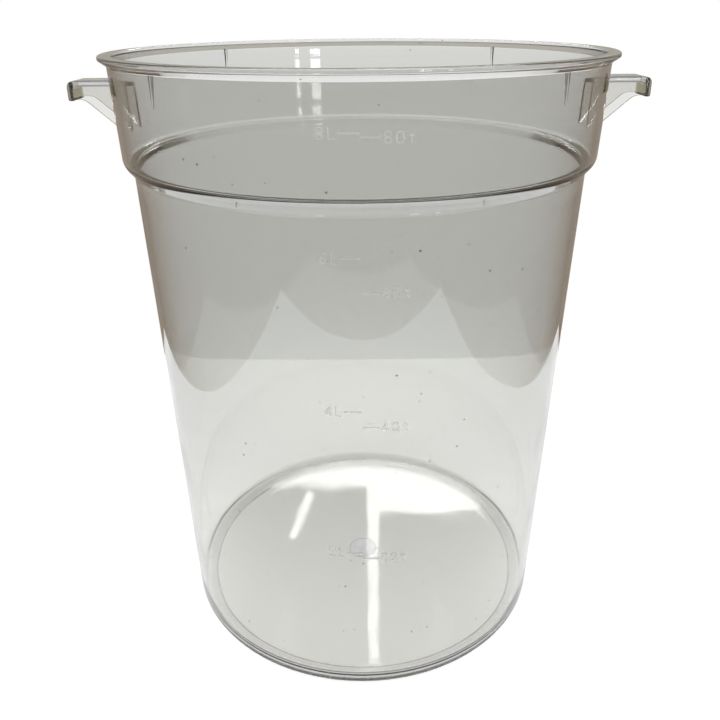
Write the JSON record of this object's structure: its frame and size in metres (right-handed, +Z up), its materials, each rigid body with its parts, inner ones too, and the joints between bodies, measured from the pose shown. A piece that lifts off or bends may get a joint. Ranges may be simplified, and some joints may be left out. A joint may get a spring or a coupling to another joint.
{
  "type": "dough proofing container",
  "caption": "Clear round straight-sided tub with a stepped collar, flanged rim, two side grips and a raised volume scale, open at the top",
  "frame": {"origin": "centre of the foot, on the surface the container stands on", "axes": "+Z up out of the open mouth, +X through one of the two grips, the volume scale faces -Y"},
  "size_m": [0.2626, 0.224, 0.279],
  "materials": {
    "clear_body": "clear polycarbonate, polished mould finish",
    "raised_marks": "clear polycarbonate, raised moulded marks"
  },
  "bodies": {
    "root": {"floor": "clear_body", "foot_ring": "clear_body", "lower_wall": "clear_body", "shoulder": "clear_body", "collar": "clear_body", "rim": "clear_body", "gate_disc": "clear_body", "handle_right": "clear_body", "handle_left": "clear_body", "litre_scale": "raised_marks", "quart_scale": "raised_marks", "stacking_rib_back_right": "clear_body", "stacking_rib_back_left": "clear_body", "stacking_rib_front_left": "clear_body", "stacking_rib_front_right": "clear_body"}
  },
  "joints": []
}
